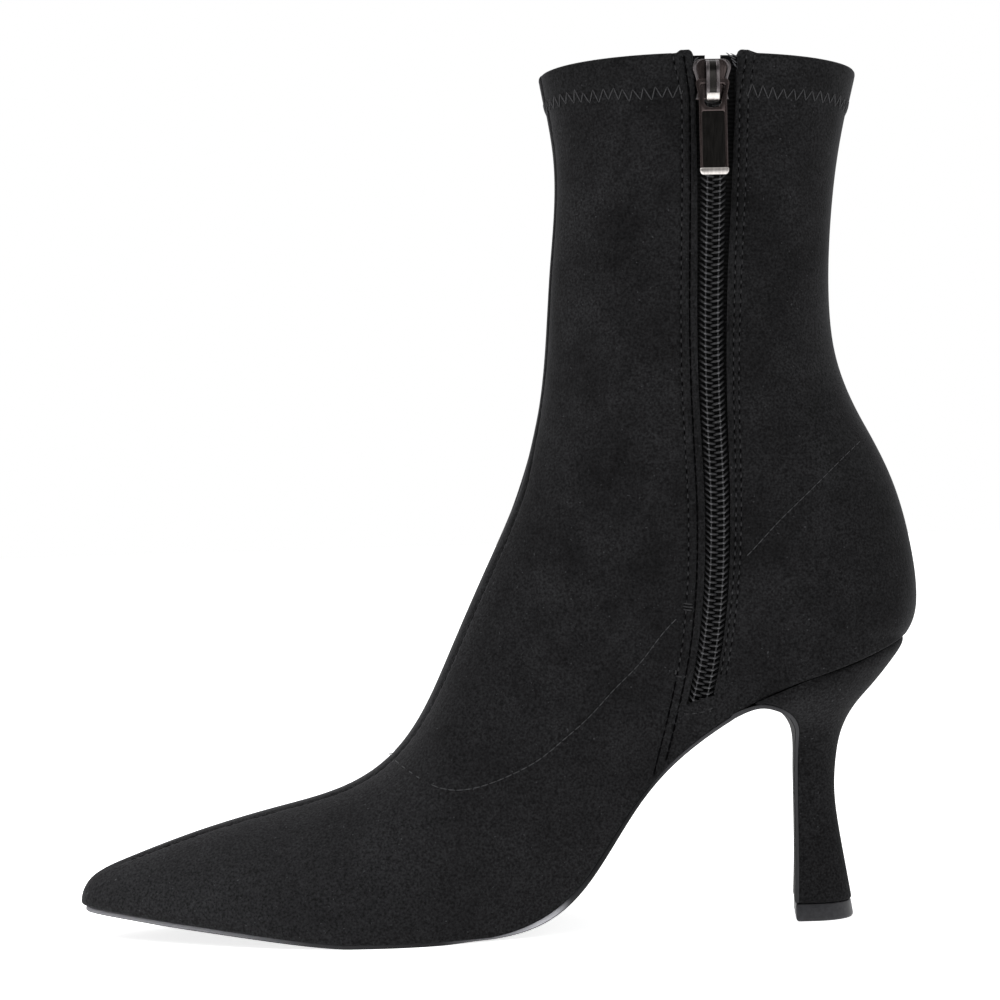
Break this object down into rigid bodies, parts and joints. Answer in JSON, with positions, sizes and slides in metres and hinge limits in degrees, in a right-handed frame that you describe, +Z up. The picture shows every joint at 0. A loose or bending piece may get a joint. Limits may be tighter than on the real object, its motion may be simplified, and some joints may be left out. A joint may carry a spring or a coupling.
{
  "type": "stretch boot",
  "caption": "Right ankle boot in black stretch suede, with a pointed toe, a waisted high heel and a zip on its inner side whose pull tab swings.",
  "frame": {"origin": "on the floor, at the middle of the boot's footprint box", "axes": "+X from the toe to the heel, +Y from the inner side of the foot to the outer side, +Z up"},
  "size_m": [0.2482, 0.0762, 0.2498],
  "materials": {
    "suede": "matte black stretch suede with a short mottled nap",
    "lining": "dark brushed lining",
    "sole": "smooth black sole with a satin painted edge",
    "heel_tip": "hard black plastic, satin",
    "tape": "woven black zip tape",
    "coil": "black nylon coil, satin",
    "gunmetal": "dark gunmetal plating with warm reflections"
  },
  "bodies": {
    "boot": {"upper": "suede", "insole": "lining", "outsole": "sole", "heel": "suede", "heel_tip": "heel_tip", "zip_tape_front": "tape", "zip_tape_rear": "tape", "zip_coil_front": "coil", "zip_coil_rear": "coil", "zip_slider": "gunmetal"},
    "pull": {"zip_pull_tab": "gunmetal"}
  },
  "joints": [
    {"name": "pull_tab_swing", "type": "hinge", "parent": "boot", "child": "pull", "pos_m": [0.06673, -0.03479, 0.24057], "axis": [-0.9996, -0.0275, 0.0074], "range_deg": [-4, 160]}
  ]
}
